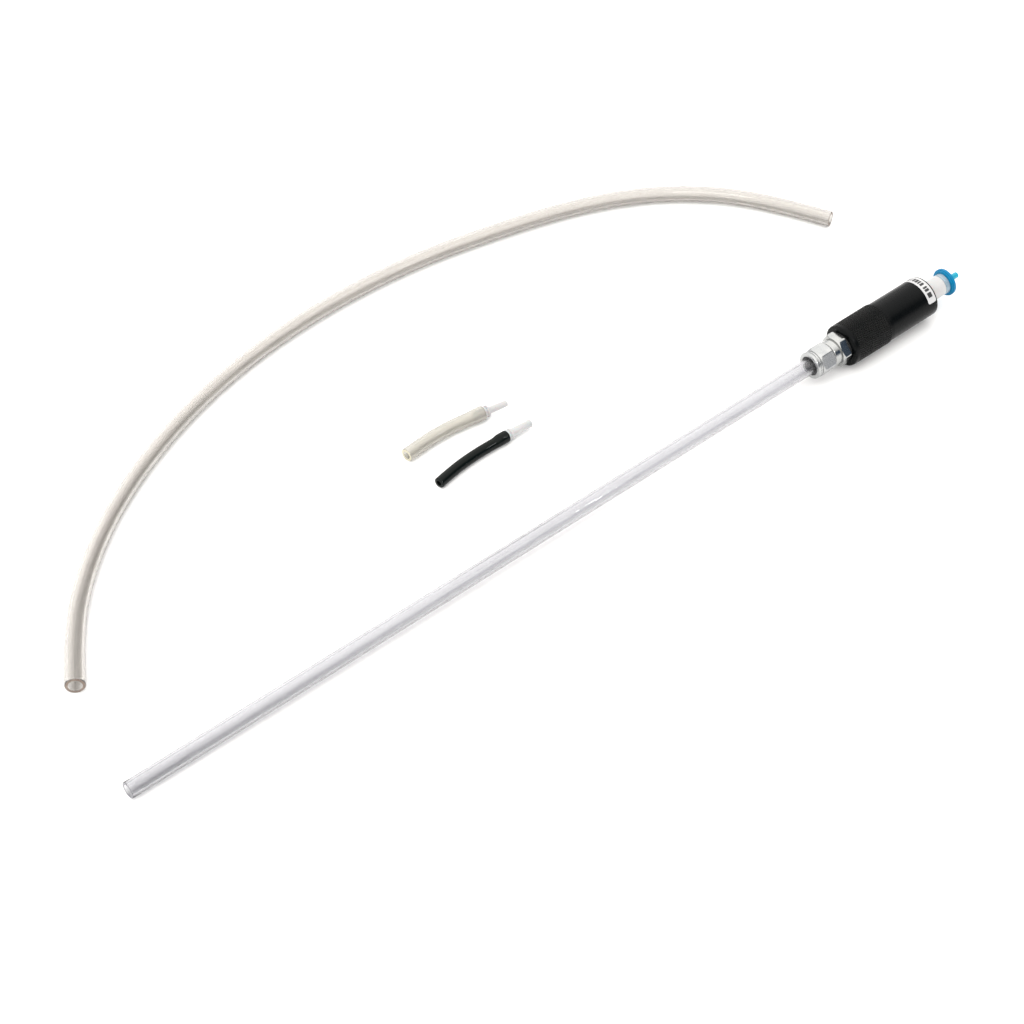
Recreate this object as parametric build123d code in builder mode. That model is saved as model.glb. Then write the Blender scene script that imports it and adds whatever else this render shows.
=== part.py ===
"""Suction probe kit of a gear oil pump.

A rigid clear suction tube is held by a compression gland in a black filter housing.
A small disc filter with a luer tip plugs into the housing's outlet. A long flexible
hose and two short tube adapters lie beside the probe.

Units are millimetres, +Z is up and the kit lies on Z = 0. The probe points along +X,
from the open tip of its tube to its luer tip. "Station" is the distance along the
probe's own axis from the open tip.
"""

from build123d import *
from math import atan2, cos, degrees, radians, sin, tan
import os

os.makedirs("parts", exist_ok=True)

# suction tube
TUBE_OD = 9.525
TUBE_ID = 6.35
TUBE_LENGTH = 489.3

# compression gland: stations of its faces, then radii and widths across flats
NUT_FACE = 467.3
NUT_COLLAR_END = 469.0
NUT_HEX_START = 471.0
NUT_END = 480.6
NUT_COLLAR_R = 8.1
NUT_BEAD_R = 7.8
NUT_GROOVE_R = 7.3
NUT_FLATS = 15.9
NUT_MOUTH_R = 5.9
NUT_CAVITY_R = 7.0
NUT_CAVITY_START = 470.4
HEX_BEVEL = 0.8
SLIP_WASHER_START = 470.45
SLIP_WASHER_THICK = 1.0
BUSHING_NOSE_R = 5.7
BUSHING_R = 6.1
BUSHING_START = 467.5
BUSHING_END = 479.4
GLAND_START = 473.5
GLAND_THREAD_R = 6.9
GLAND_NECK_START = 481.1
GLAND_NECK_R = 7.9
GLAND_HEX_START = 485.7
GLAND_HEX_END = 491.6
GLAND_FLATS = 17.7
GLAND_HEX_TURN = -10
GLAND_STEM_R = 5.6
GLAND_STEM_END = 502.5
GLAND_STOP = 489.5
THREAD_PITCH = 1.0
THREAD_DEPTH = 0.45
GUIDE_CLEARANCE = 0.08

# filter housing
CAP_FACE = 492.5
CAP_END = 521.3
CAP_R = 12.7
CAP_BEVEL = 1.5
CAP_CAVITY_START = 504.0
CAP_CAVITY_R = 7.4
SPIGOT_R = 9.45
SPIGOT_END = 530.0
SPIGOT_PITCH = 1.5
ORING_STATION = 528.3
ORING_CENTRE_R = 8.92
ORING_R = 0.57
ORING_GROOVE_R = 8.25
BARREL_R = 12.2
BARREL_END = 558.3
BARREL_BORE_R = 9.55
BARREL_SHOULDER = 530.6
BARREL_WALL = 552.3
EDGE_BEVEL = 0.4
LABEL_START = 551.3
LABEL_WIDTH = 6.0
LABEL_THICK = 0.1
LABEL_FROM = 22
LABEL_SWEEP = 153

# filter element inside the housing
ELEMENT_START = 509.0
ELEMENT_END = 550.3
ELEMENT_R = 6.0
ELEMENT_BORE_R = 3.6
LUG_START = 504.1

# outlet fitting and disc filter
OUTLET_R = 6.2
OUTLET_END = 571.8
OUTLET_STEM_R = 4.0
OUTLET_BORE_R = 1.2
SEAL_STATION = 557.75
DISC_BOSS_START = 571.9
DISC_RING_START = 574.9
DISC_FLANGE_START = 575.6
DISC_JOINT = 576.4
DISC_END = 577.8
DISC_RING_R = 7.9
DISC_R = 8.3
DISC_BORE_R = 0.9
LUER_END = 586.5
LUER_BASE_R = 2.05
LUER_TIP_R = 1.8

# flexible hose, lying on the surface
HOSE_OD = 9.525
HOSE_ID = 6.35
HOSE_ROUTE = [
    (-275, 73), (-254, 106), (-224, 138), (-186, 167), (-141, 191), (-92, 209), (-40, 220),
    (14, 224), (68, 221.5), (119, 212), (167, 200), (209, 182), (244, 154), (267, 121), (281, 91),
]

# short tube adapters, lying on the surface: free end first, connector end last
# a spigot is its base radius, its tip radius and how far it reaches from the tube's end
CLEAR_ROUTE = [(-40, 97), (-27.2, 98.5), (-13.5, 99), (0.4, 97.9), (14, 95.8)]
CLEAR_OD = 7.94
CLEAR_ID = 4.76
CLEAR_FLARE_R = 4.25
CLEAR_BARB_R = 2.75
CLEAR_FLANGE_R = 3.6
CLEAR_SPIGOT = (2.05, 1.85, 15.2)
BLACK_ROUTE = [(-39.6, 69.2), (-27, 71.9), (-13.6, 73.4), (-0.4, 73.8), (12.6, 73.5)]
BLACK_OD = 6.35
BLACK_ID = 3.18
BLACK_FLARE_R = 3.55
BLACK_BARB_R = 1.95
BLACK_FLANGE_R = 3.3
BLACK_SPIGOT = (2.65, 2.2, 16.8)
BARB_LENGTH = 6.0

# the probe lies on its tube tip and on the near edge of the knurled cap, so its axis leans
LEAN = degrees(atan2(CAP_R - TUBE_OD / 2, CAP_FACE + CAP_BEVEL))
AXIS_DIRECTION = Vector(cos(radians(LEAN)), 0, sin(radians(LEAN)))
TIP_CENTRE = Vector(-LUER_END / 2 * cos(radians(LEAN)), 0, TUBE_OD / 2 * cos(radians(LEAN)))

# the plane that holds the probe's axis: X runs along the axis and Y is the radius
side = Plane(origin=TIP_CENTRE, x_dir=AXIS_DIRECTION, z_dir=(0, -1, 0))
axis = Axis(TIP_CENTRE, AXIS_DIRECTION)


def station(distance):
    """The plane square to the probe's axis at a station."""
    return Plane(origin=TIP_CENTRE + AXIS_DIRECTION * distance, x_dir=(0, 1, 0), z_dir=AXIS_DIRECTION)


def profile(points, plane=side):
    """A closed face through (station, radius) points, for a revolve."""
    with BuildSketch(plane) as sketch:
        with BuildLine():
            Polyline(*points, close=True)
        make_face()
    return sketch.sketch


def block(start, end, outer, inner=0, plane=side):
    """The profile of a plain ring or disc between two stations."""
    return profile([(start, inner), (end, inner), (end, outer), (start, outer)], plane)


def thread_grooves(start, end, crest, pitch):
    """Profiles of the grooves of a male thread, drawn as rings."""
    faces = []
    for turn in range(int((end - start) / pitch)):
        middle = start + (turn + 0.5) * pitch
        half = 0.4 * pitch
        faces.append(profile([
            (middle - half, crest + 0.1), (middle, crest - THREAD_DEPTH), (middle + half, crest + 0.1)]))
    return faces


def corner_radii(points):
    """The radius at each corner: 0.45 of the shorter run, over the tangent of half the turn."""
    corners = [Vector(*point) for point in points]
    radii = []
    for before, here, after in zip(corners, corners[1:], corners[2:]):
        into = here - before
        out = after - here
        half_turn = radians(into.get_angle(out)) / 2
        radii.append(0.45 * min(into.length, out.length) / tan(half_turn))
    return radii


def route_line(points, height):
    """The centre line of a tube: straight runs joined by tangent arcs."""
    radii = corner_radii(points)
    with BuildLine() as line:
        FilletPolyline(*[(x, y, height) for x, y in points], radius=radii)
    print("bend radii", [round(radius) for radius in radii])
    return line.wire()


# ---- suction tube ----
with BuildPart() as suction_tube:
    with BuildSketch(station(0)):
        Circle(TUBE_OD / 2)
        Circle(TUBE_ID / 2, mode=Mode.SUBTRACT)
    extrude(amount=TUBE_LENGTH)
suction_tube.part.label = "suction_tube"

# ---- gland nut: round collar, bead, then the hexagon ----
with BuildPart() as gland_nut:
    with BuildSketch(station(NUT_HEX_START)):
        RegularPolygon(NUT_FLATS / 2, 6, major_radius=False)
    extrude(amount=NUT_END - NUT_HEX_START)
    corner = NUT_FLATS / 2 / cos(radians(30))
    revolve(profile([
        (NUT_HEX_START, 0), (NUT_END, 0), (NUT_END, corner - HEX_BEVEL),
        (NUT_END - HEX_BEVEL / 2, corner), (NUT_HEX_START + HEX_BEVEL / 2, corner),
        (NUT_HEX_START, corner - HEX_BEVEL)]), axis=axis, mode=Mode.INTERSECT)
    revolve(profile([
        (NUT_FACE, 0), (NUT_FACE, NUT_COLLAR_R - 0.6), (NUT_FACE + 0.6, NUT_COLLAR_R),
        (NUT_COLLAR_END, NUT_COLLAR_R), (NUT_COLLAR_END + 0.3, NUT_GROOVE_R),
        (NUT_COLLAR_END + 0.6, NUT_GROOVE_R), (NUT_COLLAR_END + 0.9, NUT_BEAD_R),
        (NUT_HEX_START - 0.4, NUT_BEAD_R), (NUT_HEX_START - 0.2, NUT_GROOVE_R + 0.2),
        (NUT_HEX_START, NUT_GROOVE_R + 0.2), (NUT_HEX_START, 0)]), axis=axis)
    revolve(profile([
        (NUT_FACE, 0), (NUT_FACE, NUT_MOUTH_R + 0.3), (NUT_FACE + 0.3, NUT_MOUTH_R),
        (NUT_CAVITY_START, NUT_MOUTH_R), (NUT_CAVITY_START, NUT_CAVITY_R),
        (NUT_END, NUT_CAVITY_R), (NUT_END, 0)]), axis=axis, mode=Mode.SUBTRACT)
gland_nut.part.label = "gland_nut"

# ---- slip washer between the turning nut and the rubber ----
with BuildPart() as slip_washer:
    revolve(block(SLIP_WASHER_START, SLIP_WASHER_START + SLIP_WASHER_THICK, GLAND_THREAD_R, BUSHING_NOSE_R + 0.1),
            axis=axis)
slip_washer.part.label = "slip_washer"

# ---- rubber bushing that grips the tube ----
BUSHING_STEP = SLIP_WASHER_START + SLIP_WASHER_THICK + 0.1
with BuildPart() as gland_bushing:
    revolve(profile([
        (BUSHING_START, TUBE_OD / 2 + 0.03), (BUSHING_END, TUBE_OD / 2 + 0.03),
        (BUSHING_END, BUSHING_R - 0.8), (BUSHING_END - 1.5, BUSHING_R), (BUSHING_STEP, BUSHING_R),
        (BUSHING_STEP, BUSHING_NOSE_R), (BUSHING_START, BUSHING_NOSE_R)]), axis=axis)
gland_bushing.part.label = "gland_bushing"

# ---- gland body: thread for the nut, neck, hexagon, and the stem that screws into the cap ----
with BuildPart() as gland_body:
    with BuildSketch(station(GLAND_HEX_START)):
        RegularPolygon(GLAND_FLATS / 2, 6, major_radius=False, rotation=GLAND_HEX_TURN)
    extrude(amount=GLAND_HEX_END - GLAND_HEX_START)
    corner = GLAND_FLATS / 2 / cos(radians(30))
    revolve(profile([
        (GLAND_HEX_START, 0), (GLAND_HEX_END, 0), (GLAND_HEX_END, corner - HEX_BEVEL),
        (GLAND_HEX_END - HEX_BEVEL / 2, corner), (GLAND_HEX_START + HEX_BEVEL / 2, corner),
        (GLAND_HEX_START, corner - HEX_BEVEL)]), axis=axis, mode=Mode.INTERSECT)
    revolve(block(GLAND_START, GLAND_HEX_START, GLAND_THREAD_R), axis=axis)
    revolve(profile([
        (GLAND_NECK_START, 0), (GLAND_NECK_START, GLAND_NECK_R - 0.6), (GLAND_NECK_START + 0.6, GLAND_NECK_R),
        (GLAND_HEX_START, GLAND_NECK_R), (GLAND_HEX_START, 0)]), axis=axis)
    revolve(block(GLAND_HEX_END, GLAND_STEM_END, GLAND_STEM_R), axis=axis)
    for groove in thread_grooves(GLAND_START + 0.3, GLAND_NECK_START - 0.5, GLAND_THREAD_R, THREAD_PITCH):
        revolve(groove, axis=axis, mode=Mode.SUBTRACT)
    for groove in thread_grooves(CAP_FACE + 0.5, GLAND_STEM_END, GLAND_STEM_R, THREAD_PITCH):
        revolve(groove, axis=axis, mode=Mode.SUBTRACT)
    revolve(profile([
        (GLAND_START, 0), (GLAND_START, BUSHING_R), (BUSHING_END - 1.5, BUSHING_R),
        (BUSHING_END, BUSHING_R - 0.8), (BUSHING_END, TUBE_OD / 2 + GUIDE_CLEARANCE),
        (GLAND_STOP, TUBE_OD / 2 + GUIDE_CLEARANCE), (GLAND_STOP, TUBE_ID / 2),
        (GLAND_STEM_END, TUBE_ID / 2), (GLAND_STEM_END, 0)]), axis=axis, mode=Mode.SUBTRACT)
gland_body.part.label = "gland_body"

# ---- bonded seal between the hexagon and the cap ----
with BuildPart() as gland_seal:
    revolve(block(GLAND_HEX_END, CAP_FACE, GLAND_FLATS / 2 - 0.4, GLAND_STEM_R), axis=axis)
gland_seal.part.label = "gland_seal"

# ---- knurled cap: grip, threaded spigot and O-ring groove ----
with BuildPart() as knurled_cap:
    revolve(profile([
        (CAP_FACE, GLAND_STEM_R), (CAP_FACE, CAP_R - CAP_BEVEL), (CAP_FACE + CAP_BEVEL, CAP_R),
        (CAP_END - EDGE_BEVEL, CAP_R), (CAP_END, CAP_R - EDGE_BEVEL), (CAP_END, SPIGOT_R),
        (ORING_STATION - 0.75, SPIGOT_R), (ORING_STATION - 0.75, ORING_GROOVE_R),
        (ORING_STATION + 0.75, ORING_GROOVE_R), (ORING_STATION + 0.75, SPIGOT_R),
        (SPIGOT_END - 0.3, SPIGOT_R), (SPIGOT_END, SPIGOT_R - 0.3), (SPIGOT_END, CAP_CAVITY_R),
        (CAP_CAVITY_START, CAP_CAVITY_R), (CAP_CAVITY_START, TUBE_ID / 2),
        (GLAND_STEM_END, TUBE_ID / 2), (GLAND_STEM_END, GLAND_STEM_R)]), axis=axis)
    for groove in thread_grooves(CAP_END + 0.3, ORING_STATION - 1.2, SPIGOT_R, SPIGOT_PITCH):
        revolve(groove, axis=axis, mode=Mode.SUBTRACT)
knurled_cap.part.label = "knurled_cap"

# ---- O-ring on the spigot ----
with BuildPart() as cap_oring:
    with BuildSketch(side):
        with Locations((ORING_STATION, ORING_CENTRE_R)):
            Circle(ORING_R)
    revolve(axis=axis)
cap_oring.part.label = "cap_oring"

# ---- barrel ----
with BuildPart() as housing_barrel:
    revolve(profile([
        (CAP_END + 0.1, BARREL_BORE_R), (CAP_END + 0.1, BARREL_R),
        (BARREL_END - EDGE_BEVEL, BARREL_R), (BARREL_END, BARREL_R - EDGE_BEVEL),
        (BARREL_END, OUTLET_STEM_R + 1.3), (SEAL_STATION - 0.5, OUTLET_STEM_R + 1.3),
        (SEAL_STATION - 0.5, OUTLET_STEM_R), (BARREL_WALL, OUTLET_STEM_R),
        (BARREL_WALL, CAP_CAVITY_R), (BARREL_SHOULDER, CAP_CAVITY_R),
        (BARREL_SHOULDER, BARREL_BORE_R)]), axis=axis)
housing_barrel.part.label = "housing_barrel"

# ---- label: a thin sticker round part of the barrel ----
with BuildPart() as label_band:
    with BuildSketch(station(LABEL_START)):
        with BuildLine():
            inner = CenterArc((0, 0), BARREL_R, 180 - LABEL_FROM - LABEL_SWEEP, LABEL_SWEEP)
            outer = CenterArc((0, 0), BARREL_R + LABEL_THICK, 180 - LABEL_FROM - LABEL_SWEEP, LABEL_SWEEP)
            Line(inner @ 0, outer @ 0)
            Line(inner @ 1, outer @ 1)
        make_face()
    extrude(amount=LABEL_WIDTH)
    corners = label_band.edges().filter_by(lambda edge: abs(edge.length - LABEL_THICK) < 0.01)
    fillet(corners, radius=1.2)
label_band.part.label = "label_band"

# ---- porous filter element with its closed end and its gasket ----
with BuildPart() as filter_element:
    revolve(block(ELEMENT_START, ELEMENT_END, ELEMENT_R, ELEMENT_BORE_R), axis=axis)
filter_element.part.label = "filter_element"

with BuildPart() as element_cap:
    revolve(profile([
        (ELEMENT_START - 2.5, 0), (ELEMENT_START + 3.5, 0), (ELEMENT_START + 3.5, ELEMENT_BORE_R - 0.4),
        (ELEMENT_START + 3.0, ELEMENT_BORE_R), (ELEMENT_START, ELEMENT_BORE_R),
        (ELEMENT_START, ELEMENT_R + 0.4), (ELEMENT_START - 2.5, ELEMENT_R + 0.4)]), axis=axis)
    with BuildSketch(station(LUG_START)):
        with PolarLocations(4.6, 3):
            Rectangle(2.4, 1.2)
    extrude(amount=ELEMENT_START - 2.5 - LUG_START)
element_cap.part.label = "element_cap"

with BuildPart() as element_gasket:
    revolve(block(ELEMENT_END, BARREL_WALL, ELEMENT_R + 0.4, ELEMENT_BORE_R - 0.2), axis=axis)
element_gasket.part.label = "element_gasket"

# ---- outlet fitting with its seal ----
with BuildPart() as outlet_fitting:
    revolve(profile([
        (BARREL_WALL + 0.2, OUTLET_BORE_R), (BARREL_WALL + 0.2, OUTLET_STEM_R), (BARREL_END, OUTLET_STEM_R),
        (BARREL_END, OUTLET_R - 0.3), (BARREL_END + 0.3, OUTLET_R), (OUTLET_END - 0.3, OUTLET_R),
        (OUTLET_END, OUTLET_R - 0.3), (OUTLET_END, 2.2), (OUTLET_END - 7.6, 1.97),
        (OUTLET_END - 7.6, OUTLET_BORE_R)]), axis=axis)
outlet_fitting.part.label = "outlet_fitting"

with BuildPart() as outlet_oring:
    with BuildSketch(side):
        with Locations((SEAL_STATION, OUTLET_STEM_R + 0.62)):
            Circle(0.5)
    revolve(axis=axis)
outlet_oring.part.label = "outlet_oring"

# ---- disc filter: inlet half, locking ring, membrane, support grid and outlet half ----
MEMBRANE_R = 6.3
with BuildPart() as disc_inlet_half:
    revolve(profile([
        (OUTLET_END - 7.2, DISC_BORE_R), (OUTLET_END - 7.2, 1.92), (DISC_BOSS_START, 2.14),
        (DISC_BOSS_START, OUTLET_R - 0.3), (DISC_BOSS_START + 0.3, OUTLET_R), (DISC_FLANGE_START, OUTLET_R),
        (DISC_FLANGE_START, 7.2), (DISC_JOINT, 7.2), (DISC_JOINT, MEMBRANE_R),
        (DISC_JOINT - 0.5, MEMBRANE_R), (DISC_JOINT - 0.5, DISC_BORE_R)]), axis=axis)
disc_inlet_half.part.label = "disc_inlet_half"

with BuildPart() as disc_ring:
    revolve(profile([
        (DISC_RING_START, OUTLET_R), (DISC_RING_START, DISC_RING_R - 0.3), (DISC_RING_START + 0.3, DISC_RING_R),
        (DISC_JOINT, DISC_RING_R), (DISC_JOINT, 7.2), (DISC_FLANGE_START, 7.2),
        (DISC_FLANGE_START, OUTLET_R)]), axis=axis)
disc_ring.part.label = "disc_ring"

with BuildPart() as disc_membrane:
    revolve(block(DISC_JOINT - 0.5, DISC_JOINT - 0.3, MEMBRANE_R), axis=axis)
disc_membrane.part.label = "disc_membrane"

with BuildPart() as disc_support:
    with BuildSketch(station(DISC_JOINT - 0.3)):
        Circle(MEMBRANE_R)
        for ring_r, holes in ((1.6, 6), (3.2, 12), (4.9, 18)):
            with PolarLocations(ring_r, holes):
                Circle(0.4, mode=Mode.SUBTRACT)
    extrude(amount=0.6)
disc_support.part.label = "disc_support"

with BuildPart() as disc_outlet_half:
    revolve(profile([
        (DISC_JOINT - 0.6, DISC_RING_R), (DISC_JOINT - 0.6, DISC_R - 0.1), (DISC_JOINT - 0.5, DISC_R),
        (DISC_END - 0.5, DISC_R), (DISC_END, DISC_R - 0.5), (DISC_END, LUER_BASE_R + 0.4),
        (DISC_END + 0.4, LUER_BASE_R), (LUER_END - 0.2, LUER_TIP_R), (LUER_END, LUER_TIP_R - 0.2),
        (LUER_END, DISC_BORE_R), (DISC_JOINT + 0.3, DISC_BORE_R), (DISC_JOINT + 0.3, MEMBRANE_R),
        (DISC_JOINT, MEMBRANE_R), (DISC_JOINT, DISC_RING_R)]), axis=axis)
disc_outlet_half.part.label = "disc_outlet_half"

# ---- flexible hose ----
hose_line = route_line(HOSE_ROUTE, HOSE_OD / 2)
with BuildPart() as flexible_hose:
    with BuildSketch(Plane(origin=hose_line @ 0, z_dir=hose_line % 0)):
        Circle(HOSE_OD / 2)
        Circle(HOSE_ID / 2, mode=Mode.SUBTRACT)
    sweep(path=hose_line)
flexible_hose.part.label = "flexible_hose"


def lying_plane(route, height):
    """The upright plane through a connector: X runs out of the tube's end and Y is up."""
    (x0, y0), (x1, y1) = route[-2:]
    direction = Vector(x1 - x0, y1 - y0, 0).normalized()
    return Plane(origin=(x1, y1, height), x_dir=direction, z_dir=(direction.Y, -direction.X, 0))


def adapter_tube(route, outer, bore, flare, barb):
    """A short bent tube, stretched wider where it is pushed over the connector's barb."""
    line = route_line(route, flare)
    edges = line.edges().sort_by(Axis.X)
    straight = edges[-1].length
    plane = lying_plane(route, flare)
    with BuildPart() as tube:
        with BuildSketch(Plane(origin=line @ 0, z_dir=line % 0)):
            Circle(outer)
            Circle(bore, mode=Mode.SUBTRACT)
        sweep(path=Wire(edges[:-1]))
        revolve(profile([
            (-straight, bore), (-straight, outer), (-BARB_LENGTH + 1, flare), (-2, flare), (-0.4, outer),
            (0, outer - 0.3), (0, barb), (-BARB_LENGTH, barb), (-BARB_LENGTH, bore)], plane),
            axis=Axis(plane.origin, plane.x_dir))
    return tube.part


def adapter_connector(route, height, barb, shoulder, spigot):
    """A moulded barb, double flange and tapered spigot in one piece."""
    base, tip, reach = spigot
    plane = lying_plane(route, height)
    core = barb - 0.45
    with BuildPart() as connector:
        revolve(profile([
            (-BARB_LENGTH, 0.8), (-BARB_LENGTH, core), (-BARB_LENGTH + 1.8, barb), (-BARB_LENGTH + 2, core),
            (-BARB_LENGTH + 2.8, core), (-BARB_LENGTH + 4.6, barb), (-BARB_LENGTH + 4.8, core), (0, core),
            (0, shoulder), (0.9, shoulder), (1.1, shoulder - 0.7), (1.7, shoulder - 0.7), (1.9, shoulder),
            (2.8, shoulder), (3.0, base), (reach - 0.4, tip), (reach, tip - 0.35), (reach, 0.8)], plane),
            axis=Axis(plane.origin, plane.x_dir))
    return connector.part


# ---- short clear adapter ----
clear_adapter_tube = adapter_tube(CLEAR_ROUTE, CLEAR_OD / 2, CLEAR_ID / 2, CLEAR_FLARE_R, CLEAR_BARB_R)
clear_adapter_tube.label = "clear_adapter_tube"
clear_adapter_connector = adapter_connector(
    CLEAR_ROUTE, CLEAR_FLARE_R, CLEAR_BARB_R, CLEAR_FLANGE_R, CLEAR_SPIGOT)
clear_adapter_connector.label = "clear_adapter_connector"

# ---- short black adapter ----
black_adapter_tube = adapter_tube(BLACK_ROUTE, BLACK_OD / 2, BLACK_ID / 2, BLACK_FLARE_R, BLACK_BARB_R)
black_adapter_tube.label = "black_adapter_tube"
black_adapter_connector = adapter_connector(
    BLACK_ROUTE, BLACK_FLARE_R, BLACK_BARB_R, BLACK_FLANGE_R, BLACK_SPIGOT)
black_adapter_connector.label = "black_adapter_connector"

# ---- write each piece to its own file ----
pieces = [
    suction_tube.part, gland_nut.part, slip_washer.part, gland_bushing.part, gland_body.part,
    gland_seal.part, knurled_cap.part, cap_oring.part, housing_barrel.part, label_band.part,
    filter_element.part, element_cap.part, element_gasket.part, outlet_fitting.part, outlet_oring.part,
    disc_inlet_half.part, disc_ring.part, disc_membrane.part, disc_support.part, disc_outlet_half.part,
    flexible_hose.part, clear_adapter_tube, clear_adapter_connector, black_adapter_tube,
    black_adapter_connector,
]
for piece in pieces:
    export_step(piece, f"parts/{piece.label}.step")

section = 3.14159 * (HOSE_OD ** 2 - HOSE_ID ** 2) / 4
print("hose length", round(hose_line.length, 1), "lean", round(LEAN, 4))
print("hose volume", round(flexible_hose.part.volume), "section times length", round(section * hose_line.length))
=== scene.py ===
"""The looks of a gear oil pump's suction probe kit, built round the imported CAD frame.

Lengths of pieces are given in millimetres and turned into metres as each mesh is made.
"Station" is the distance along the probe's own axis from the open tip of its tube.
"""

import math

import bpy
import numpy as np
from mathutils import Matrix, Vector


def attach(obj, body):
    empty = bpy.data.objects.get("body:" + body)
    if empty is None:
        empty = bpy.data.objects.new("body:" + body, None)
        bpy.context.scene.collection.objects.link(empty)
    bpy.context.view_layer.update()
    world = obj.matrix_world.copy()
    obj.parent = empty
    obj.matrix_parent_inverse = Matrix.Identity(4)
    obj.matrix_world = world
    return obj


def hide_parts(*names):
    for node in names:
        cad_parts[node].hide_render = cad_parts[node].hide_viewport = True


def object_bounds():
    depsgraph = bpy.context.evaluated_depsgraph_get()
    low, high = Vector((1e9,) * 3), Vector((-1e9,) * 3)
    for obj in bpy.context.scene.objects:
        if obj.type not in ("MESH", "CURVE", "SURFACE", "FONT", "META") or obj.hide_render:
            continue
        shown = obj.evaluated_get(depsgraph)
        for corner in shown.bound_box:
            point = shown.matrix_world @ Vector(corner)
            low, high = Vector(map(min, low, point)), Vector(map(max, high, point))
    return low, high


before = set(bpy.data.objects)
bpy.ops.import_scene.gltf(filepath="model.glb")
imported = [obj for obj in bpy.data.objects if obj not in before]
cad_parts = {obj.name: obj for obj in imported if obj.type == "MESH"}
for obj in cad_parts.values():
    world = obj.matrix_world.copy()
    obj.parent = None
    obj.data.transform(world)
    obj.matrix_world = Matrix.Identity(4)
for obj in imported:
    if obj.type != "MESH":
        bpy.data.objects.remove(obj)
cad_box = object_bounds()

MM = 0.001
scene = bpy.context.scene

# ---- the probe's axis: it lies on the tube's tip and on the near edge of the knurled cap ----
TUBE_R = 4.7625
TUBE_BORE_R = 3.175
CAP_R = 12.7
CAP_NEAR_EDGE = 494.0
LUER_END = 586.5
LEAN = math.atan2(CAP_R - TUBE_R, CAP_NEAR_EDGE)
ALONG = Vector((math.cos(LEAN), 0, math.sin(LEAN)))
ACROSS = Vector((0, 1, 0))
UP = Vector((-math.sin(LEAN), 0, math.cos(LEAN)))
TIP = Vector((-LUER_END / 2 * math.cos(LEAN), 0, TUBE_R * math.cos(LEAN)))
PROBE = (TIP, ALONG, ACROSS, UP)

# ---- camera ----
CAMERA_AT = Vector((-0.7215, -0.8036, 1.1071))
LOOK_AT = Vector((-0.0212, 0.0290, 0))
camera = bpy.data.objects.new("camera", bpy.data.cameras.new("camera"))
scene.collection.objects.link(camera)
camera.location = CAMERA_AT
camera.rotation_euler = (LOOK_AT - CAMERA_AT).to_track_quat("-Z", "Y").to_euler()
camera.data.sensor_width = 36
camera.data.lens = 100.55
camera.data.clip_end = 50
scene.camera = camera


# ---- materials ----
def material(name, colour, tint, grain=600, stretch=(1, 1, 1), rough=(0.3, 0.4), bump=0.05, depth=0.05,
             spots=0, along=False, **sockets):
    """A finish whose colour wanders between two tones, with grain in its roughness and surface.

    With along, the grain follows the piece's own length, from its UV map in metres.
    """
    made = bpy.data.materials.new(name)
    made.use_nodes = True
    nodes = made.node_tree.nodes
    link = made.node_tree.links.new
    shader = nodes["Principled BSDF"]
    where = nodes.new("ShaderNodeTexCoord")
    scale = nodes.new("ShaderNodeMapping")
    scale.inputs["Scale"].default_value = stretch
    link(where.outputs["UV" if along else "Object"], scale.inputs["Vector"])

    cloud = nodes.new("ShaderNodeTexNoise")
    cloud.inputs["Scale"].default_value = grain / 6
    cloud.inputs["Detail"].default_value = 4
    link(scale.outputs["Vector"], cloud.inputs["Vector"])
    fine = nodes.new("ShaderNodeTexNoise")
    fine.inputs["Scale"].default_value = grain
    fine.inputs["Detail"].default_value = 8
    fine.inputs["Roughness"].default_value = 0.65
    link(scale.outputs["Vector"], fine.inputs["Vector"])

    tone = nodes.new("ShaderNodeValToRGB")
    tone.color_ramp.elements[0].position = 0.35
    tone.color_ramp.elements[0].color = (*colour, 1)
    tone.color_ramp.elements[1].position = 0.68
    tone.color_ramp.elements[1].color = (*tint, 1)
    link(cloud.outputs["Fac"], tone.inputs["Fac"])
    link(tone.outputs["Color"], shader.inputs["Base Color"])

    gloss = nodes.new("ShaderNodeMapRange")
    gloss.inputs["From Min"].default_value = 0.3
    gloss.inputs["From Max"].default_value = 0.7
    gloss.inputs["To Min"].default_value = rough[0]
    gloss.inputs["To Max"].default_value = rough[1]
    link(fine.outputs["Fac"], gloss.inputs["Value"])
    link(gloss.outputs["Result"], shader.inputs["Roughness"])

    height = fine.outputs["Fac"]
    if spots:
        dents = nodes.new("ShaderNodeTexVoronoi")
        dents.inputs["Scale"].default_value = spots
        link(where.outputs["Object"], dents.inputs["Vector"])
        pits = nodes.new("ShaderNodeMapRange")
        pits.inputs["From Max"].default_value = 0.22
        link(dents.outputs["Distance"], pits.inputs["Value"])
        both = nodes.new("ShaderNodeMath")
        both.operation = "MULTIPLY_ADD"
        both.inputs[1].default_value = 0.6
        link(pits.outputs["Result"], both.inputs[0])
        link(fine.outputs["Fac"], both.inputs[2])
        height = both.outputs["Value"]
    relief = nodes.new("ShaderNodeBump")
    relief.inputs["Strength"].default_value = bump
    relief.inputs["Distance"].default_value = depth * MM
    link(height, relief.inputs["Height"])
    link(relief.outputs["Normal"], shader.inputs["Normal"])
    for socket, value in sockets.items():
        shader.inputs[socket.replace("_", " ")].default_value = value
    return made


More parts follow.
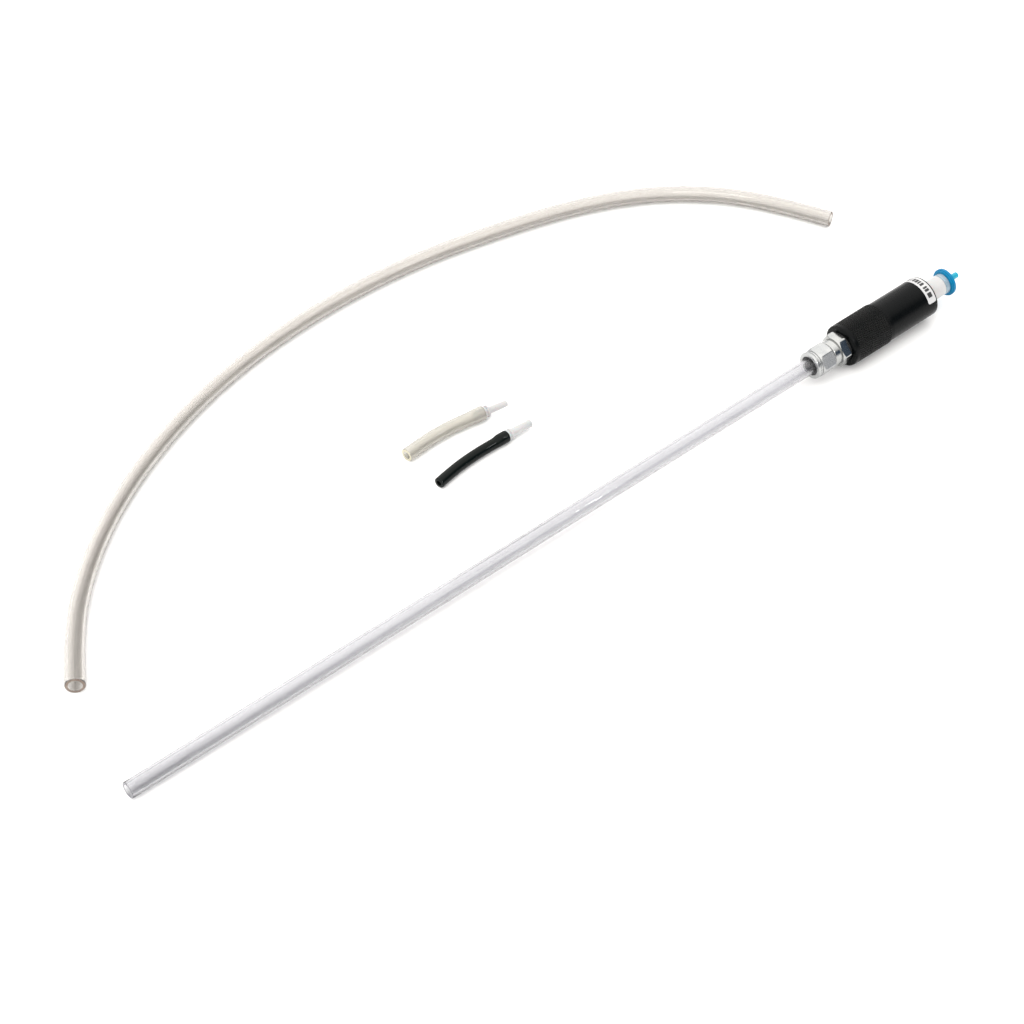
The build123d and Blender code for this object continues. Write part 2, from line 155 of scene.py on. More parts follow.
clear_acrylic = material(
    "clear_acrylic", (0.64, 0.64, 0.662), (0.49, 0.49, 0.513), grain=1500, stretch=(0.004, 1, 1),
    rough=(0.04, 0.07), bump=0.0, depth=0.02, Transmission_Weight=0.94, IOR=1.49)
acrylic_bore = material(
    "acrylic_bore", (0.96, 0.96, 0.97), (0.92, 0.92, 0.935), grain=900, stretch=(0.004, 1, 1),
    rough=(0.02, 0.05), bump=0.0, Transmission_Weight=0.97, IOR=1.49)
acrylic_cut = material(
    "acrylic_cut_end", (0.24, 0.24, 0.29), (0.36, 0.36, 0.41), grain=1600, rough=(0.15, 0.3), bump=0.1,
    Transmission_Weight=0.5, IOR=1.49)
zinc = material(
    "zinc_plate", (0.385, 0.395, 0.40), (0.465, 0.47, 0.467), grain=900, rough=(0.22, 0.30), bump=0.07,
    depth=0.05, spots=330, Metallic=1.0)
zinc_bright = material(
    "zinc_bright", (0.38, 0.39, 0.39), (0.455, 0.457, 0.445), grain=1200, rough=(0.13, 0.24), bump=0.10,
    depth=0.05, spots=420, Metallic=1.0)
steel = material(
    "washer_steel", (0.55, 0.56, 0.57), (0.65, 0.65, 0.64), grain=2200, rough=(0.28, 0.4), bump=0.2,
    depth=0.04, Metallic=1.0)
rubber = material(
    "black_rubber", (0.012, 0.012, 0.013), (0.022, 0.022, 0.023), grain=1800, rough=(0.45, 0.62), bump=0.3)
seal_rubber = material(
    "seal_rubber", (0.014, 0.015, 0.015), (0.026, 0.026, 0.027), grain=2400, rough=(0.4, 0.55), bump=0.25)
anodised = material(
    "black_anodised", (0.0014, 0.0020, 0.0022), (0.0024, 0.0028, 0.003), grain=1400, stretch=(1, 0.35, 0.35),
    rough=(0.24, 0.30), bump=0.02, depth=0.02, Specular_IOR_Level=0.09)
knurl_black = material(
    "knurl_black", (0.0035, 0.0042, 0.0042), (0.006, 0.0062, 0.006), grain=900, rough=(0.24, 0.32), bump=0.02,
    depth=0.03, Specular_IOR_Level=0.22)
label_white = material(
    "label_white", (0.53, 0.53, 0.53), (0.49, 0.49, 0.495), grain=900, rough=(0.35, 0.45), bump=0.06)
label_ink = material(
    "label_ink", (0.012, 0.012, 0.013), (0.028, 0.028, 0.03), grain=2600, rough=(0.4, 0.55), bump=0.1)
porous = material(
    "porous_white", (0.80, 0.80, 0.77), (0.62, 0.61, 0.58), grain=3200, rough=(0.75, 0.95), bump=0.9,
    depth=0.12, spots=1900)
white_plastic = material(
    "white_plastic", (0.52, 0.52, 0.515), (0.47, 0.47, 0.47), grain=700, rough=(0.32, 0.45), bump=0.07,
    Subsurface_Weight=0.12, Subsurface_Scale=0.002)
disc_clear = material(
    "disc_clear", (0.43, 0.58, 0.69), (0.52, 0.63, 0.71), grain=500, rough=(0.12, 0.24), bump=0.06,
    Transmission_Weight=0.55, IOR=1.49)
membrane = material(
    "membrane_white", (0.84, 0.84, 0.83), (0.76, 0.76, 0.75), grain=4200, rough=(0.8, 0.95), bump=0.5)
disc_blue = material(
    "disc_blue", (0.0, 0.155, 0.315), (0.0, 0.18, 0.355), grain=450, rough=(0.26, 0.38), bump=0.05,
    Specular_IOR_Level=0.2)
disc_cyan = material(
    "disc_cyan", (0.008, 0.35, 0.50), (0.025, 0.40, 0.54), grain=500, rough=(0.15, 0.26), bump=0.06,
    Transmission_Weight=0.12, IOR=1.49)
clear_vinyl = material(
    "clear_vinyl", (0.76, 0.732, 0.70), (0.48, 0.457, 0.434), grain=1400, stretch=(1, 0.004, 1), along=True,
    rough=(0.06, 0.11), bump=0.02, depth=0.03, Transmission_Weight=0.88, IOR=1.52)
vinyl_bore = material(
    "vinyl_bore", (0.96, 0.95, 0.93), (0.90, 0.89, 0.87), grain=700, stretch=(1, 0.004, 1), along=True,
    rough=(0.04, 0.08), bump=0.0, Transmission_Weight=0.95, IOR=1.52)
vinyl_cut = material(
    "vinyl_cut_end", (0.19, 0.135, 0.105), (0.28, 0.215, 0.175), grain=1600, rough=(0.35, 0.5), bump=0.3,
    Transmission_Weight=0.25, IOR=1.52)
ivory = material(
    "ivory_tube", (0.64, 0.618, 0.562), (0.54, 0.52, 0.47), grain=600, stretch=(1, 0.02, 1), along=True,
    rough=(0.12, 0.20), bump=0.02, Transmission_Weight=0.62, IOR=1.5)
ivory_bore = material(
    "ivory_bore", (0.95, 0.94, 0.88), (0.90, 0.89, 0.83), grain=600, stretch=(1, 0.02, 1), along=True,
    rough=(0.06, 0.1), bump=0.0, Transmission_Weight=0.9, IOR=1.5)
ivory_cut = material(
    "ivory_cut_end", (0.54, 0.51, 0.37), (0.48, 0.45, 0.33), grain=1500, rough=(0.4, 0.55), bump=0.3)
black_tube = material(
    "black_tube", (0.002, 0.0038, 0.0034), (0.0035, 0.0056, 0.005), grain=700, stretch=(1, 0.05, 1),
    along=True, rough=(0.05, 0.08), bump=0.01, Specular_IOR_Level=0.12)
connector_white = material(
    "connector_plastic", (0.53, 0.53, 0.53), (0.48, 0.48, 0.485), grain=500, rough=(0.26, 0.38), bump=0.04,
    Transmission_Weight=0.12, Subsurface_Weight=0.2, Subsurface_Scale=0.002, IOR=1.49)

CAD_FINISH = {
    "slip_washer": steel, "gland_bushing": rubber, "gland_seal": seal_rubber, "cap_oring": seal_rubber,
    "filter_element": porous, "element_cap": white_plastic, "element_gasket": seal_rubber,
    "outlet_oring": seal_rubber, "disc_membrane": membrane, "disc_support": white_plastic,
}


# ---- mesh helpers ----
CORNER_TRIM = 0.985


def make_piece(name, points, faces, finish, body, nodes, sharp=40, marks=()):
    """A mesh in metres that rides on a body and stands for CAD nodes. marks are (face index, slot number)."""
    mesh = bpy.data.meshes.new(name)
    mesh.from_pydata([tuple(point) for point in points], [], faces)
    mesh.validate()
    for one in finish if isinstance(finish, (list, tuple)) else [finish]:
        mesh.materials.append(one)
    for face, number in marks:
        mesh.polygons[face].material_index = number
    mesh.shade_smooth()
    mesh.set_sharp_from_angle(angle=math.radians(sharp))
    piece = bpy.data.objects.new(name, mesh)
    scene.collection.objects.link(piece)
    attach(piece, body)
    if nodes:
        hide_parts(*nodes)
    return piece


def rounded(points, steps=3):
    """A closed (station, radius) profile whose corners with a third number are rounded by that much."""
    out = []
    for index, point in enumerate(points):
        here = np.array(point[:2], float)
        if len(point) < 3:
            out.append(tuple(here))
            continue
        before = np.array(points[index - 1][:2], float)
        after = np.array(points[(index + 1) % len(points)][:2], float)
        start = here + (before - here) / np.linalg.norm(before - here) * point[2]
        end = here + (after - here) / np.linalg.norm(after - here) * point[2]
        for step in range(steps + 1):
            t = step / steps
            out.append(tuple((1 - t) ** 2 * start + 2 * t * (1 - t) * here + t * t * end))
    return out


def dense(start, end, radius, step, end_radius=None):
    """Points along a straight part of a profile, one every step."""
    count = max(1, round(abs(end - start) / step))
    last = radius if end_radius is None else end_radius
    shares = [i / count for i in range(count + 1)]
    return [(start + (end - start) * share, radius + (last - radius) * share) for share in shares]


def lathe(name, profile, finish, body, nodes=(), turns=96, shape=None, place=PROBE, sharp=40,
          paint=None):
    """A closed turned solid. shape(angle, station, radius) may change the radius round the axis.

    paint(start, end, radius, after, angle) gives a face's finish: its number in the list of finishes.
    """
    origin, along, across, up = place
    angles = np.arange(turns) * 2 * math.pi / turns
    stations = np.array([point[0] for point in profile], float)[:, None]
    radii = np.array([point[1] for point in profile], float)[:, None] + 0 * angles[None, :]
    if shape is not None:
        radii = shape(angles[None, :] + 0 * stations, stations + 0 * angles[None, :], radii)
    spots = (np.array(origin)[None, None] + (stations * np.array(along)[None])[:, None, :].reshape(-1, 1, 3)
             + radii[..., None] * (np.cos(angles)[None, :, None] * np.array(across)
                                   + np.sin(angles)[None, :, None] * np.array(up))) * MM
    rings = len(profile)
    faces = []
    marks = []
    for i in range(rings):
        k = (i + 1) % rings
        for j in range(turns):
            n = (j + 1) % turns
            a, b, c, d = i * turns + j, k * turns + j, k * turns + n, i * turns + n
            # a face that isn't flat is split along its lower diagonal
            lean = radii[i, j] + radii[k, n] - radii[k, j] - radii[i, n]
            if lean < -0.02:
                made = [(a, c, b), (a, d, c)]
            elif lean > 0.02:
                made = [(a, d, b), (b, d, c)]
            else:
                made = [(a, d, c, b)]
            for face in made:
                if paint is not None:
                    number = paint(stations[i, 0], stations[k, 0], radii[i, j], radii[k, j], angles[j])
                    if number:
                        marks.append((len(faces), number))
                faces.append(face)
    return make_piece(name, spots.reshape(-1, 3), faces, finish, body, nodes, sharp, marks)


def wave(value):
    """A triangle wave of period 1: 0 at whole numbers and 1 half way between them."""
    return 1 - np.abs(2 * (value - np.floor(value)) - 1)


def hexagon(angle, flats, turn):
    """The radius of a hexagon whose corners are at turn + 60 degrees, and so on."""
    off = np.mod(angle - math.radians(turn), math.radians(60))
    return flats / 2 / np.cos(off - math.radians(30))


def corner_radius(flats):
    """The radius that a hexagon's corners are turned down to."""
    return flats / 2 / math.cos(math.radians(30)) * CORNER_TRIM


def helix(angle, station, pitch, depth):
    """How far a male thread's surface lies below its crests."""
    groove = wave(station / pitch - angle / (2 * math.pi))
    return depth * np.clip(1.25 * groove - 0.12, 0, 1)


# ---- cords: each follows the smooth line of its own route ----
HOSE_ROUTE = [
    (-275, 73), (-254, 106), (-224, 138), (-186, 167), (-141, 191), (-92, 209), (-40, 220),
    (14, 224), (68, 221.5), (119, 212), (167, 200), (209, 182), (244, 154), (267, 121), (281, 91),
]
CLEAR_ROUTE = [(-40, 97), (-27.2, 98.5), (-13.5, 99), (0.4, 97.9), (14, 95.8)]
BLACK_ROUTE = [(-39.6, 69.2), (-27, 71.9), (-13.6, 73.4), (-0.4, 73.8), (12.6, 73.5)]


def cord_line(route, height):
    """The points of a NURBS line through a route that lies at one height, in metres."""
    curve = bpy.data.curves.new("line", "CURVE")
    curve.dimensions = "3D"
    curve.resolution_u = 14
    spline = curve.splines.new("NURBS")
    spline.points.add(len(route) - 1)
    for point, (x, y) in zip(spline.points, route):
        point.co = (x * MM, y * MM, height * MM, 1)
    spline.order_u = 3
    spline.use_endpoint_u = True
    holder = bpy.data.objects.new("line", curve)
    mesh = bpy.data.meshes.new_from_object(holder)
    points = [vertex.co.copy() for vertex in mesh.vertices]
    bpy.data.objects.remove(holder)
    bpy.data.curves.remove(curve)
    bpy.data.meshes.remove(mesh)
    return points


CUT_EASE = 0.6
CUT_DROP = 0.35
SHORT_CORD = 80


def tube(name, points, outer, inner, finish, body, node, turns=56):
    """A hollow tube that rests on the surface under a level line.

    outer and inner give radii in mm at a distance from the line's end and from its start. The three
    finishes are for its outside, its cut ends and its bore.
    """
    line = np.array([tuple(point) for point in points]) / MM
    steps = np.linalg.norm(np.diff(line, axis=0), axis=1)
    travelled = np.concatenate([[0], np.cumsum(steps)])
    total = travelled[-1]
    near_cut = [0.12, 0.3, 0.6, 1.2]
    even = np.linspace(0, total, max(24, int(total / 3)))
    over_barb = np.arange(1.8, 14, 0.6) if total < SHORT_CORD else []
    places = sorted({0.0, total, *near_cut, *(total - t for t in near_cut),
                     *(t for t in even if 1.6 < t < total - 1.6), *(total - t for t in over_barb)})
    rings = []
    for t in places:
        here = np.array([np.interp(t, travelled, line[:, i]) for i in range(3)])
        ahead = np.array([np.interp(min(t + 1.5, total), travelled, line[:, i]) for i in range(3)])
        behind = np.array([np.interp(max(t - 1.5, 0), travelled, line[:, i]) for i in range(3)])
        way = (ahead - behind) / np.linalg.norm(ahead - behind)
        clear_of_cuts = min(max(t, CUT_EASE), total - CUT_EASE)
        here[2] = outer(total - clear_of_cuts, clear_of_cuts)
        rings.append((here, np.array((way[1], -way[0], 0)), t))
    angles = np.arange(turns) * 2 * math.pi / turns
    lift = np.array((0, 0, 1))
    spots = []
    loops = [(ring, outer(total - ring[2], ring[2])) for ring in rings]
    loops += [(ring, inner(total - ring[2], ring[2])) for ring in reversed(rings)]
    for (here, out, _), radius in loops:
        for angle in angles:
            spots.append((here + radius * (math.cos(angle) * out + math.sin(angle) * lift)) * MM)
    faces = []
    marks = []
    count = len(loops)
    for i in range(count):
        k = (i + 1) % count
        for j in range(turns):
            n = (j + 1) % turns
            if i in (count // 2 - 1, count - 1):
                marks.append((len(faces), 1))
            elif i >= count // 2:
                marks.append((len(faces), 2))
            faces.append((i * turns + j, k * turns + j, k * turns + n, i * turns + n))
    piece = make_piece(name, spots, faces, finish, body, [node], 50, marks)
    run = piece.data.uv_layers.new(name="run")
    girth = 2 * math.pi * loops[0][1] * MM
    for face in piece.data.polygons:
        corners = [divmod(piece.data.loops[corner].vertex_index, turns) for corner in face.loop_indices]
        seam = {column for _, column in corners} == {0, turns - 1}
        for corner, (ring, column) in zip(face.loop_indices, corners):
            share = (turns if seam and column == 0 else column) / turns
            run.data[corner].uv = (share * girth, loops[ring][0][2] * MM)
    return piece


def cut_edge(radius, to_end, from_start):
    """A tube's outer radius, eased over its cut edges."""
    near = min(to_end, from_start)
    return radius - CUT_DROP * max(0, 1 - near / CUT_EASE) ** 2


HOSE_STRETCH = 0.8
HOSE_STRETCH_LENGTH = 130
BORE_STRETCH_SHARE = 0.8


def worn_end(start):
    """How much wider the hose is towards the end that has been pushed over fittings."""
    near = min(max(1 - start / HOSE_STRETCH_LENGTH, 0), 1)
    return HOSE_STRETCH * near * near * (3 - 2 * near)


hose_points = cord_line(HOSE_ROUTE, TUBE_R)
hose = tube("hose", hose_points, lambda end, start: cut_edge(TUBE_R + worn_end(start), end, start),
            lambda end, start: TUBE_BORE_R + BORE_STRETCH_SHARE * worn_end(start),
            [clear_vinyl, vinyl_cut, vinyl_bore], "flexible_hose", "flexible_hose")


def stretched(base, flare, from_end):
    """A tube's radius where it is pushed over a barb: full over the barb, eased down to both sides."""
    rise = min(max((9.5 - from_end) / 5.0, 0), 1)
    rise = rise * rise * (3 - 2 * rise)
    return base + (flare - base) * rise


def lying_place(route, height):
    """Where a connector sits: it runs on out of its tube's end."""
    (x0, y0), (x1, y1) = route[-2:]
    along = Vector((x1 - x0, y1 - y0, 0)).normalized()
    return Vector((x1, y1, height)), along, Vector((-along.y, along.x, 0)), Vector((0, 0, 1))


def adapter(name, route, outer, bore, flare, barb, shoulder, spigot, tube_finish):
    """A short tube with a moulded barb, double flange and tapered spigot on its end.

    outer, bore, flare, barb and shoulder are radii. spigot is its base radius, tip radius and reach.
    """
    base, tip, reach = spigot
    points = cord_line(route, flare)
    body = f"{name}_adapter"
    connector = lathe(
        f"{name}_connector",
        rounded([
            (-6, 0.8), (-6, barb - 0.45), (-4.2, barb), (-4.0, barb - 0.45), (-3.2, barb - 0.45),
            (-1.4, barb), (-1.2, barb - 0.45), (0, barb - 0.45), (0, shoulder, 0.2), (0.9, shoulder, 0.2),
            (1.1, shoulder - 0.7), (1.7, shoulder - 0.7), (1.9, shoulder, 0.2), (2.8, shoulder, 0.2),
            (3.0, base, 0.15),
            *dense(4.5, reach - 1.5, base + (tip - base) * 0.1, 2.5, base + (tip - base) * 0.9),
            (reach, tip, 0.4), (reach, 0.8, 0.15)]),
        connector_white, body, [f"{name}_adapter_connector"], turns=64,
        place=lying_place(route, flare))
    hose_piece = tube(
        f"{name}_tube", points,
        lambda end, start: cut_edge(stretched(outer, flare, end), end, start),
        lambda end, start: barb if end <= 6.01 else bore + (barb - bore) * max(0, (8 - end) / 2),
        tube_finish, body, f"{name}_adapter_tube")


adapter("clear", CLEAR_ROUTE, outer=3.97, bore=2.38, flare=4.25, barb=2.75, shoulder=3.6,
        spigot=(2.05, 1.85, 15.2), tube_finish=[ivory, ivory_cut, ivory_bore])
adapter("black", BLACK_ROUTE, outer=3.175, bore=1.59, flare=3.55, barb=1.95, shoulder=3.3,
        spigot=(2.65, 2.2, 16.8), tube_finish=[black_tube] * 3)


# ---- suction tube ----
def tube_paint(start, end, radius, after, angle):
    """The sawn ends and the bore have their own finishes."""
    if abs(start - end) < 0.01:
        return 2
    return 1 if max(radius, after) < 3.2 else 0


lathe("rigid_tube",
      rounded([(0, TUBE_BORE_R, 0.12), (0, TUBE_R, 0.25), *dense(6, 480, TUBE_R, 12), (489.3, TUBE_R, 0.25),
               (489.3, TUBE_BORE_R, 0.12), *dense(480, 6, TUBE_BORE_R, 12)]),
      [clear_acrylic, acrylic_bore, acrylic_cut], "suction_tube", ["suction_tube"], turns=72,
      paint=tube_paint)

# ---- gland nut ----
NUT_FLATS = 15.9
NUT_CORNER = corner_radius(NUT_FLATS)


def nut_shape(angle, station, radius):
    """Six flats from the collar to the nut's end."""
    inside = (station >= 470.99) & (radius > 7.6)
    return np.where(inside, np.minimum(radius, hexagon(angle, NUT_FLATS, 0)), radius)


lathe("nut",
      rounded([
          (467.3, 5.9, 0.25), (467.3, 8.1, 0.6), (469.0, 8.1, 0.25), (469.3, 7.3, 0.1), (469.6, 7.3, 0.1),
          (469.9, 7.8, 0.15), (470.6, 7.8, 0.15), (470.8, 7.5), (471.0, 7.5), (471.0, NUT_CORNER - 1.1, 0.1),
          *dense(471.15, 472.0, NUT_CORNER - 0.95, 0.12, NUT_CORNER), *dense(472.4, 479.4, NUT_CORNER, 1.0),
          *dense(479.7, 480.5, NUT_CORNER, 0.12, NUT_CORNER - 0.9), (480.6, NUT_CORNER - 1.1), (480.6, 7.0),
          (470.4, 7.0), (470.4, 5.9)]),
      zinc, "gland_nut", ["gland_nut"], turns=180, shape=nut_shape, sharp=28)

# ---- gland body: thread, neck, second hexagon and stem ----
GLAND_PITCH = 1.0
GLAND_FLATS = 17.7
GLAND_CORNER = corner_radius(GLAND_FLATS)
GLAND_TURN = -10


def gland_shape(angle, station, radius):
    """Threads at both ends and six flats between them."""
    thread = (station > 473.8) & (station < 480.55) & (radius > 6.65)
    stem = (station > 492.7) & (station < 502.3) & (radius > 5.2)
    hexed = (station > 485.6) & (station < 491.7) & (radius > 7.75)
    radius = np.where(thread, radius - helix(angle, station, GLAND_PITCH, 0.5), radius)
    radius = np.where(stem, radius - helix(angle, station, GLAND_PITCH, 0.45), radius)
    return np.where(hexed, np.minimum(radius, hexagon(angle, GLAND_FLATS, GLAND_TURN)), radius)


lathe("gland",
      rounded([
          (473.5, 6.1), (473.5, 6.5), *dense(473.9, 480.5, 6.9, 0.125), (481.1, 6.6), (481.1, 7.9, 0.5),
          *dense(482, 485.2, 7.9, 0.8), (485.5, 7.7), (485.7, 7.7), (485.7, GLAND_CORNER - 1.2),
          *dense(485.85, 486.6, GLAND_CORNER - 1.0, 0.12, GLAND_CORNER),
          *dense(487.0, 490.4, GLAND_CORNER, 0.8),
          *dense(490.7, 491.45, GLAND_CORNER, 0.12, GLAND_CORNER - 0.9), (491.6, GLAND_CORNER - 1.1),
          (491.6, 5.6), *dense(492.75, 502.25, 5.6, 0.125), (502.5, 5.3), (502.5, TUBE_BORE_R),
          (489.5, TUBE_BORE_R), (489.5, 4.8425), (479.4, 4.8425), (479.4, 5.3), (477.9, 6.1)]),
      zinc_bright, "cap", ["gland_body"], turns=180, shape=gland_shape, sharp=28)

# ---- knurled cap: rows of diamonds round the grip, then the threaded spigot ----
CAP_PITCH = 1.5
KNURL_ROUND = 56
KNURL_PITCH = 1.5
KNURL_START = 495.6
KNURL_ROWS = 16
KNURL_END = KNURL_START + KNURL_ROWS * KNURL_PITCH
KNURL_DEPTH = 0.45


def cap_shape(angle, station, radius):
    """Crossed grooves over the grip and a thread on the spigot."""
    grip = (station > KNURL_START - 0.01) & (station < KNURL_END + 0.01) & (radius > 12)
    turn = angle * KNURL_ROUND / (2 * math.pi)
    row = (station - KNURL_START) / KNURL_PITCH
    cut = np.minimum(wave(turn + row), wave(turn - row))
    radius = np.where(grip, radius - KNURL_DEPTH * (1 - np.clip(2 * cut, 0, 1)), radius)
    thread = (station > 521.7) & (station < 527.2) & (radius > 9)
    return np.where(thread, radius - helix(angle, station, CAP_PITCH, 0.5), radius)


def cap_paint(start, end, radius, after, angle):
    """Everything but the knurl has the smooth finish."""
    return 0 if KNURL_START - 0.01 < (start + end) / 2 < KNURL_END and radius > 12 else 1


lathe("knurled_grip",
      rounded([
          (492.5, 5.6, 0.15), (492.5, CAP_R - 0.05, 1.3), (495.2, CAP_R - 0.05, 0.2),
          *dense(KNURL_START, KNURL_END, CAP_R, KNURL_PITCH / 6), (521.3, CAP_R - 0.05, 0.25), (521.3, 12.2),
          (521.3, 9.45), *dense(521.75, 527.15, 9.45, 0.15), (527.55, 9.45), (527.55, 8.25), (529.05, 8.25),
          (529.05, 9.45), (530.0, 9.3), (530.0, 7.4), (504.0, 7.4), (504.0, TUBE_BORE_R),
          (502.5, TUBE_BORE_R), (502.5, 5.6)]),
      [knurl_black, anodised], "cap", ["knurled_cap"], turns=KNURL_ROUND * 6,
      shape=cap_shape, sharp=20, paint=cap_paint)

# ---- barrel ----
lathe("barrel",
      rounded([
          (521.4, 9.55, 0.1), (521.4, 12.2, 0.25), *dense(524, 555, 12.2, 4), (558.3, 12.2, 0.45),
          (558.3, 5.3, 0.15), (557.25, 5.3), (557.25, 4.0), (552.3, 4.0), (552.3, 7.4), (530.6, 7.4),
          (530.6, 9.55)]),
      anodised, "housing", ["housing_barrel"], turns=160)

# ---- label: a thin sticker with plain blocks in place of print ----
LABEL_START, LABEL_WIDTH = 551.3, 6.0
LABEL_FROM, LABEL_SWEEP = 5, 153
LABEL_R = 12.2
LABEL_CORNER = 1.2
LABEL_SKINS = (0.11, 0.004)
PRINT_LOW, PRINT_HIGH = 0.26, 0.74
# where each dark block starts and how wide it is, as shares of the sticker's length
PRINT = [
    (0.09, 0.035), (0.145, 0.05), (0.21, 0.035), (0.265, 0.05), (0.345, 0.02), (0.395, 0.05),
    (0.46, 0.05), (0.525, 0.035), (0.58, 0.05), (0.67, 0.035), (0.72, 0.05), (0.80, 0.09),
]


def label():
    """The sticker: two skins of a part turn of the barrel, with rounded corners and a rim between them."""
    columns, rows = 164, 24
    length = LABEL_SWEEP / 180 * math.pi * LABEL_R
    spots = []
    for skin in LABEL_SKINS:
        for i in range(columns + 1):
            distance = length * i / columns
            near = min(distance, length - distance)
            inset = 0
            if near < LABEL_CORNER:
                inset = LABEL_CORNER - math.sqrt(LABEL_CORNER ** 2 - (LABEL_CORNER - near) ** 2)
            angle = math.radians(LABEL_FROM + LABEL_SWEEP * i / columns)
            radius = LABEL_R + skin
            for j in range(rows + 1):
                station = LABEL_START + inset + (LABEL_WIDTH - 2 * inset) * j / rows
                spots.append((TIP + ALONG * station
                              + (ACROSS * math.cos(angle) + UP * math.sin(angle)) * radius) * MM)
    faces, marks = [], []
    size = (columns + 1) * (rows + 1)
    for i in range(columns):
        for j in range(rows):
            a = i * (rows + 1) + j
            b, c, d = a + rows + 1, a + rows + 2, a + 1
            share = (i + 0.5) / columns
            across = (j + 0.5) / rows
            printed = any(start < share < start + width for start, width in PRINT)
            if PRINT_LOW < across < PRINT_HIGH and printed:
                marks.append((len(faces), 1))
            faces.append((a, b, c, d))
            faces.append((a + size, d + size, c + size, b + size))
    rim = [i * (rows + 1) for i in range(columns + 1)]
    rim += [columns * (rows + 1) + j for j in range(1, rows + 1)]
    rim += [i * (rows + 1) + rows for i in range(columns - 1, -1, -1)]
    rim += [j for j in range(rows - 1, 0, -1)]
    for here, after in zip(rim, rim[1:] + rim[:1]):
        faces.append((here, here + size, after + size, after))
    make_piece("label", spots, faces, [label_white, label_ink], "housing", ["label_band"],
               50, marks)


label()

# ---- outlet fitting and disc filter ----
lathe("outlet",
      rounded([
          (552.5, 1.2), (552.5, 4.0), (558.3, 4.0), (558.3, 6.2, 0.35), *dense(560, 570, 6.2, 2.5),
          (571.8, 6.2, 0.35), (571.8, 2.2, 0.2), (564.2, 1.97), (564.2, 1.2)]),
      white_plastic, "housing", ["outlet_fitting"], turns=96)

lathe("disc_inlet",
      rounded([
          (564.6, 0.9), (564.6, 1.92), (571.9, 2.14), (571.9, 6.2, 0.3), (575.6, 6.2), (575.6, 7.2),
          (576.4, 7.2), (576.4, 6.3), (575.9, 6.3), (575.9, 0.9)]),
      disc_clear, "disc_filter", ["disc_inlet_half"], turns=96)


def ribbed(count, depth, low, high):
    """A lathe shape with notches beyond the low radius and before the high station."""
    def shape(angle, station, radius):
        notch = np.clip(4 * wave(angle * count / (2 * math.pi)) - 3, 0, 1)
        return np.where((radius > low) & (station < high), radius - depth * notch, radius)
    return shape


lathe("disc_lock_ring",
      rounded([
          (574.9, 6.2), (574.9, 7.9, 0.3), (575.6, 7.9), (576.4, 7.9), (576.4, 7.2), (575.6, 7.2),
          (575.6, 6.2)]),
      disc_blue, "disc_filter", ["disc_ring"], turns=192, shape=ribbed(24, 0.3, 7.5, 575.7))


def disc_paint(start, end, radius, after, angle):
    """The luer tip is cyan."""
    return 1 if min(start, end) > 577.75 and min(radius, after) < 3.2 else 0


lathe("disc_outlet",
      rounded([
          (575.8, 7.9), (575.8, 8.3, 0.15), (577.8, 8.3, 0.5), (577.8, 6.4), (578.0, 6.1, 0.1),
          (578.0, 3.4, 0.1), (577.8, 3.1), (577.8, 2.5), (578.2, 2.05, 0.15), (586.5, 1.8, 0.25),
          (586.5, 0.9), (576.7, 0.9), (576.7, 6.3), (576.4, 6.3), (576.4, 7.9)]),
      [disc_blue, disc_cyan], "disc_filter", ["disc_outlet_half"], turns=96, paint=disc_paint)

# ---- CAD pieces that stay, with their own finishes ----
for node, finish in CAD_FINISH.items():
    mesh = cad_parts[node].data
    mesh.materials.clear()
    mesh.materials.append(finish)

# ---- floor, world and lights ----
FLOOR_GAP = 0.0001
floor_mesh = bpy.data.meshes.new("floor")
floor_mesh.from_pydata([(-6, -6, 0), (6, -6, 0), (6, 6, 0), (-6, 6, 0)], [], [(0, 1, 2, 3)])
floor_mesh.materials.append(material(
    "floor_paper", (0.93, 0.93, 0.93), (0.925, 0.925, 0.925), grain=40, rough=(0.9, 0.95), bump=0.0))
floor = bpy.data.objects.new("floor", floor_mesh)
scene.collection.objects.link(floor)
floor.location.z = cad_box[0].z - FLOOR_GAP

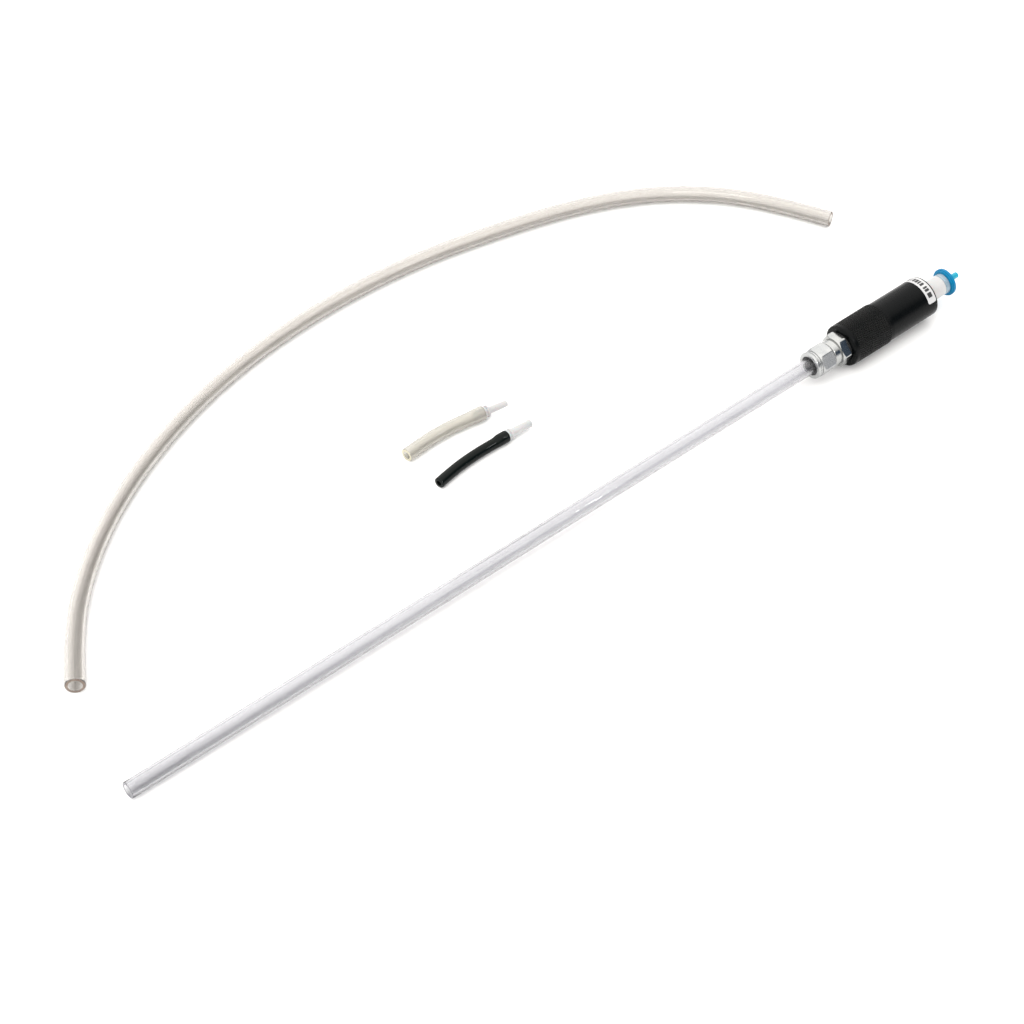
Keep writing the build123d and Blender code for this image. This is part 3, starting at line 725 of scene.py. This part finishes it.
# the room glows from above and the left, fades towards the viewer's right, is grey low down all round,
# and has one dark card on the right
world = bpy.data.worlds.new("studio")
scene.world = world
world.use_nodes = True
room = world.node_tree.nodes
wire = world.node_tree.links.new
sky = room["Background"]
direction = room.new("ShaderNodeTexCoord")


def glow(towards, dark, bright):
    """A smooth 0 to 1 across the sky, by the cosine of the angle from a direction."""
    facing = room.new("ShaderNodeVectorMath")
    facing.operation = "DOT_PRODUCT"
    facing.inputs[1].default_value = Vector(towards).normalized()
    wire(direction.outputs["Generated"], facing.inputs[0])
    ramp = room.new("ShaderNodeMapRange")
    ramp.interpolation_type = "SMOOTHSTEP"
    ramp.inputs["From Min"].default_value = dark
    ramp.inputs["From Max"].default_value = bright
    wire(facing.outputs["Value"], ramp.inputs["Value"])
    return ramp.outputs["Result"]


def blend(share, first, second):
    """Two sky colours mixed by a share."""
    mixed = room.new("ShaderNodeMixRGB")
    wire(share, mixed.inputs["Fac"])
    for socket, colour in (("Color1", first), ("Color2", second)):
        if isinstance(colour, tuple):
            mixed.inputs[socket].default_value = (*colour, 1)
        else:
            wire(colour, mixed.inputs[socket])
    return mixed.outputs["Color"]


dome = blend(glow((-0.55, 0.35, 0.75), -0.35, 0.38), (0.05, 0.05, 0.052), (1.0, 0.985, 0.965))
dome = blend(glow((0, 0, -1), -0.24, -0.10), dome, (0.46, 0.46, 0.47))
dome = blend(glow((0.554, -0.746, 0.368), 0.956, 0.988), dome, (0.022, 0.038, 0.062))
wire(dome, sky.inputs["Color"])
sky.inputs["Strength"].default_value = 2.0


def softbox(name, at, target, size, power):
    """A rectangular area lamp aimed at a point."""
    lamp = bpy.data.lights.new(name, "AREA")
    lamp.shape = "RECTANGLE"
    lamp.size, lamp.size_y = size
    lamp.energy = power
    box = bpy.data.objects.new(name, lamp)
    scene.collection.objects.link(box)
    box.location = at
    box.rotation_euler = (Vector(target) - Vector(at)).to_track_quat("-Z", "Y").to_euler()


softbox("key", (-0.3, -0.3, 1.9), (0, 0.05, 0), (0.7, 0.7), 5)
softbox("strip", (0.354, -0.448, 0.507), (0.0075, 0.0736, 0.0085), (0.008, 0.10), 0.22)

scene.view_settings.view_transform = "Standard"
scene.view_settings.look = "None"
